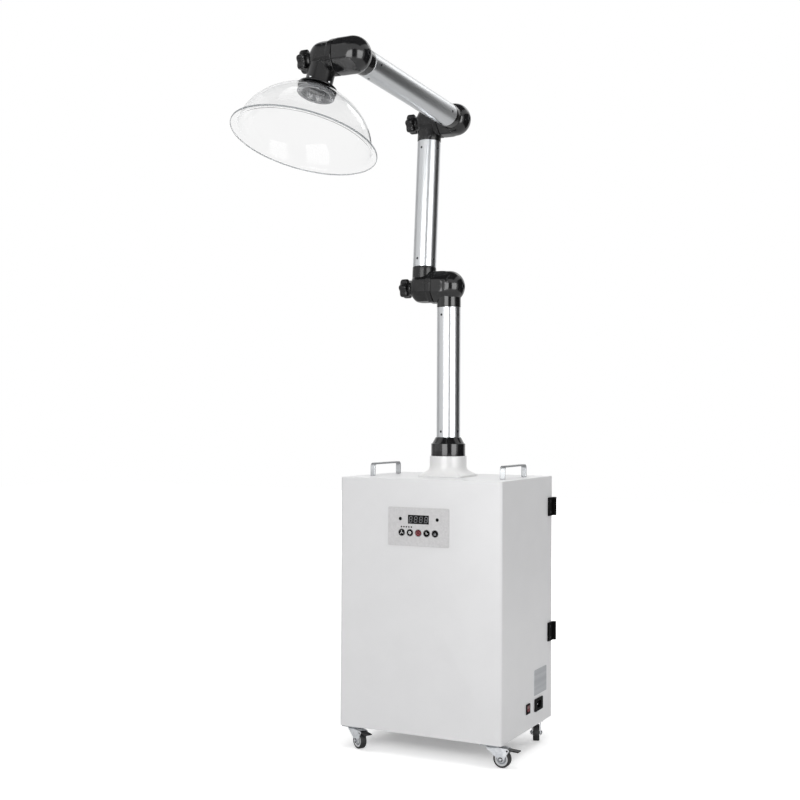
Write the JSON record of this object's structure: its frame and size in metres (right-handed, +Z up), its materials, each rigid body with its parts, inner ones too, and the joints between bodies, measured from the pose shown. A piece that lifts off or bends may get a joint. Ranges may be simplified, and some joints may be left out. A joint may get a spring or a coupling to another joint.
{
  "type": "mobile fume extraction unit with jointed arm",
  "caption": "Sheet-metal filter cabinet on casters with a jointed tube arm and a clear dome hood that draws off fumes and aerosol over a workplace.",
  "frame": {"origin": "centre of the base pan's underside, 50 mm over the floor", "axes": "+Z up, -Y towards the front with the control panel, +X to the right seen from the front"},
  "size_m": [0.4568, 0.8076, 1.4876],
  "materials": {
    "powder_white": "fine textured white powder coat",
    "cast_aluminium": "dull cast",
    "filter_paper": "pleated glass-fibre medium in a card frame",
    "zinc_steel": "bright zinc plate",
    "tube_aluminium": "satin anodised",
    "black_nylon": "moulded, slightly satin",
    "white_nylon": "smooth moulded",
    "grey_nylon": "moulded",
    "grey_overlay": "fine matt film",
    "clear_acrylic": "clear polished",
    "red_plastic": "smooth moulded",
    "circuit_board": "solder mask",
    "wheel_rubber": "smooth moulded"
  },
  "bodies": {
    "cabinet": {"cabinet_shell": "powder_white", "base_pan": "powder_white", "filter_shelf": "powder_white", "filter_cassette": "filter_paper", "blower_housing": "cast_aluminium", "blower_motor": "cast_aluminium", "control_panel": "grey_overlay", "display_module": "black_nylon", "control_board": "circuit_board", "switch_bezel": "black_nylon", "power_inlet": "black_nylon", "left_handle": "zinc_steel", "right_handle": "zinc_steel", "inlet_flange": "white_nylon", "swivel_collar": "black_nylon", "swivel_bush": "grey_nylon", "upper_hinge_side_leaf": "black_nylon", "lower_hinge_side_leaf": "black_nylon", "front_right_caster_plate": "zinc_steel", "front_left_caster_plate": "zinc_steel", "rear_right_caster_plate": "zinc_steel", "rear_left_caster_plate": "zinc_steel"},
    "lower_arm": {"lower_tube": "tube_aluminium", "elbow1_ball_half": "black_nylon", "elbow1_bolt": "zinc_steel"},
    "middle_arm": {"elbow1_knob_half": "black_nylon", "middle_tube": "tube_aluminium", "elbow2_knob_half": "black_nylon"},
    "upper_arm": {"elbow2_ball_half": "black_nylon", "elbow2_bolt": "zinc_steel", "upper_tube": "tube_aluminium", "elbow3_ball_half": "black_nylon", "elbow3_bolt": "zinc_steel"},
    "hood_arm": {"elbow3_knob_half": "black_nylon", "hood": "clear_acrylic", "hood_ring": "grey_nylon"},
    "elbow1_knob": {"elbow1_knob": "black_nylon"},
    "elbow2_knob": {"elbow2_knob": "black_nylon"},
    "elbow3_knob": {"elbow3_knob": "black_nylon"},
    "door": {"rear_door": "powder_white", "upper_hinge_door_leaf": "black_nylon", "lower_hinge_door_leaf": "black_nylon"},
    "latch": {"door_latch": "zinc_steel"},
    "impeller": {"impeller": "cast_aluminium"},
    "rocker": {"power_rocker": "red_plastic"},
    "fan_button": {"fan_button": "black_nylon"},
    "set_button": {"set_button": "black_nylon"},
    "power_button": {"power_button": "red_plastic"},
    "timer_button": {"timer_button": "black_nylon"},
    "child_lock_button": {"child_lock_button": "black_nylon"},
    "front_right_fork": {"front_right_caster_fork": "zinc_steel"},
    "front_right_wheel": {"front_right_caster_wheel": "wheel_rubber"},
    "front_right_pedal": {"front_right_brake_pedal": "black_nylon"},
    "front_left_fork": {"front_left_caster_fork": "zinc_steel"},
    "front_left_wheel": {"front_left_caster_wheel": "wheel_rubber"},
    "front_left_pedal": {"front_left_brake_pedal": "black_nylon"},
    "rear_right_fork": {"rear_right_caster_fork": "zinc_steel"},
    "rear_right_wheel": {"rear_right_caster_wheel": "wheel_rubber"},
    "rear_left_fork": {"rear_left_caster_fork": "zinc_steel"},
    "rear_left_wheel": {"rear_left_caster_wheel": "wheel_rubber"}
  },
  "joints": [
    {"name": "base_swivel", "type": "hinge", "parent": "cabinet", "child": "lower_arm", "pos_m": [0, 0, 0.6], "axis": [0, 0, 1], "continuous": true},
    {"name": "elbow1", "type": "hinge", "parent": "lower_arm", "child": "middle_arm", "pos_m": [0, 0, 0.9885], "axis": [1, 0, 0], "range_deg": [-35, 45]},
    {"name": "elbow2", "type": "hinge", "parent": "middle_arm", "child": "upper_arm", "pos_m": [0, 0.02891, 1.37843], "axis": [1, 0, 0], "range_deg": [-75, 40]},
    {"name": "elbow3", "type": "hinge", "parent": "upper_arm", "child": "hood_arm", "pos_m": [0, -0.45458, 1.40072], "axis": [1, 0, 0], "range_deg": [-60, 45]},
    {"name": "elbow1_knob_turn", "type": "hinge", "parent": "middle_arm", "child": "elbow1_knob", "pos_m": [0, 0, 0.9885], "axis": [1, 0, 0], "range_deg": [-180, 180]},
    {"name": "elbow2_knob_turn", "type": "hinge", "parent": "middle_arm", "child": "elbow2_knob", "pos_m": [0, 0.02891, 1.37843], "axis": [1, 0, 0], "range_deg": [-180, 180]},
    {"name": "elbow3_knob_turn", "type": "hinge", "parent": "hood_arm", "child": "elbow3_knob", "pos_m": [0, -0.45458, 1.40072], "axis": [1, 0, 0], "range_deg": [-180, 180]},
    {"name": "door_swing", "type": "hinge", "parent": "cabinet", "child": "door", "pos_m": [0.1999, 0.1574, 0], "axis": [0, 0, -1], "range_deg": [0, 110]},
    {"name": "latch_turn", "type": "hinge", "parent": "door", "child": "latch", "pos_m": [-0.163, 0.1525, 0.3], "axis": [0, 1, 0], "range_deg": [0, 90]},
    {"name": "impeller_spin", "type": "hinge", "parent": "cabinet", "child": "impeller", "pos_m": [-0.025, -0.01, 0.19], "axis": [0, 0, 1], "continuous": true},
    {"name": "rocker_tip", "type": "hinge", "parent": "cabinet", "child": "rocker", "pos_m": [0.19043, 0.0012, 0.047], "axis": [0, 1, 0], "range_deg": [0, 16]},
    {"name": "fan_press", "type": "slide", "parent": "cabinet", "child": "fan_button", "axis": [0, 1, 0], "range_m": [0, 0.0008], "stiffness_N_per_m": 1500},
    {"name": "set_press", "type": "slide", "parent": "cabinet", "child": "set_button", "axis": [0, 1, 0], "range_m": [0, 0.0008], "stiffness_N_per_m": 1500},
    {"name": "power_press", "type": "slide", "parent": "cabinet", "child": "power_button", "axis": [0, 1, 0], "range_m": [0, 0.0008], "stiffness_N_per_m": 1500},
    {"name": "timer_press", "type": "slide", "parent": "cabinet", "child": "timer_button", "axis": [0, 1, 0], "range_m": [0, 0.0008], "stiffness_N_per_m": 1500},
    {"name": "child_lock_press", "type": "slide", "parent": "cabinet", "child": "child_lock_button", "axis": [0, 1, 0], "range_m": [0, 0.0008], "stiffness_N_per_m": 1500},
    {"name": "front_right_swivel", "type": "hinge", "parent": "cabinet", "child": "front_right_fork", "pos_m": [0.168, -0.128, 0], "axis": [0, 0, 1], "continuous": true},
    {"name": "front_right_roll", "type": "hinge", "parent": "front_right_fork", "child": "front_right_wheel", "pos_m": [0.188, -0.128, -0.031], "axis": [0, 1, 0], "continuous": true},
    {"name": "front_right_brake", "type": "hinge", "parent": "front_right_fork", "child": "front_right_pedal", "pos_m": [0.202, -0.128, -0.012], "axis": [0, 1, 0], "range_deg": [0, 12]},
    {"name": "front_left_swivel", "type": "hinge", "parent": "cabinet", "child": "front_left_fork", "pos_m": [-0.168, -0.128, 0], "axis": [0, 0, 1], "continuous": true},
    {"name": "front_left_roll", "type": "hinge", "parent": "front_left_fork", "child": "front_left_wheel", "pos_m": [-0.15068, -0.138, -0.031], "axis": [0.5, 0.866, 0], "continuous": true},
    {"name": "front_left_brake", "type": "hinge", "parent": "front_left_fork", "child": "front_left_pedal", "pos_m": [-0.13856, -0.145, -0.012], "axis": [0.5, 0.866, 0], "range_deg": [0, 12]},
    {"name": "rear_right_swivel", "type": "hinge", "parent": "cabinet", "child": "rear_right_fork", "pos_m": [0.168, 0.128, 0], "axis": [0, 0, 1], "continuous": true},
    {"name": "rear_right_roll", "type": "hinge", "parent": "rear_right_fork", "child": "rear_right_wheel", "pos_m": [0.17484, 0.10921, -0.031], "axis": [0.9397, 0.342, 0], "continuous": true},
    {"name": "rear_left_swivel", "type": "hinge", "parent": "cabinet", "child": "rear_left_fork", "pos_m": [-0.168, 0.128, 0], "axis": [0, 0, 1], "continuous": true},
    {"name": "rear_left_roll", "type": "hinge", "parent": "rear_left_fork", "child": "rear_left_wheel", "pos_m": [-0.15514, 0.11268, -0.031], "axis": [0.766, 0.6428, 0], "continuous": true}
  ]
}
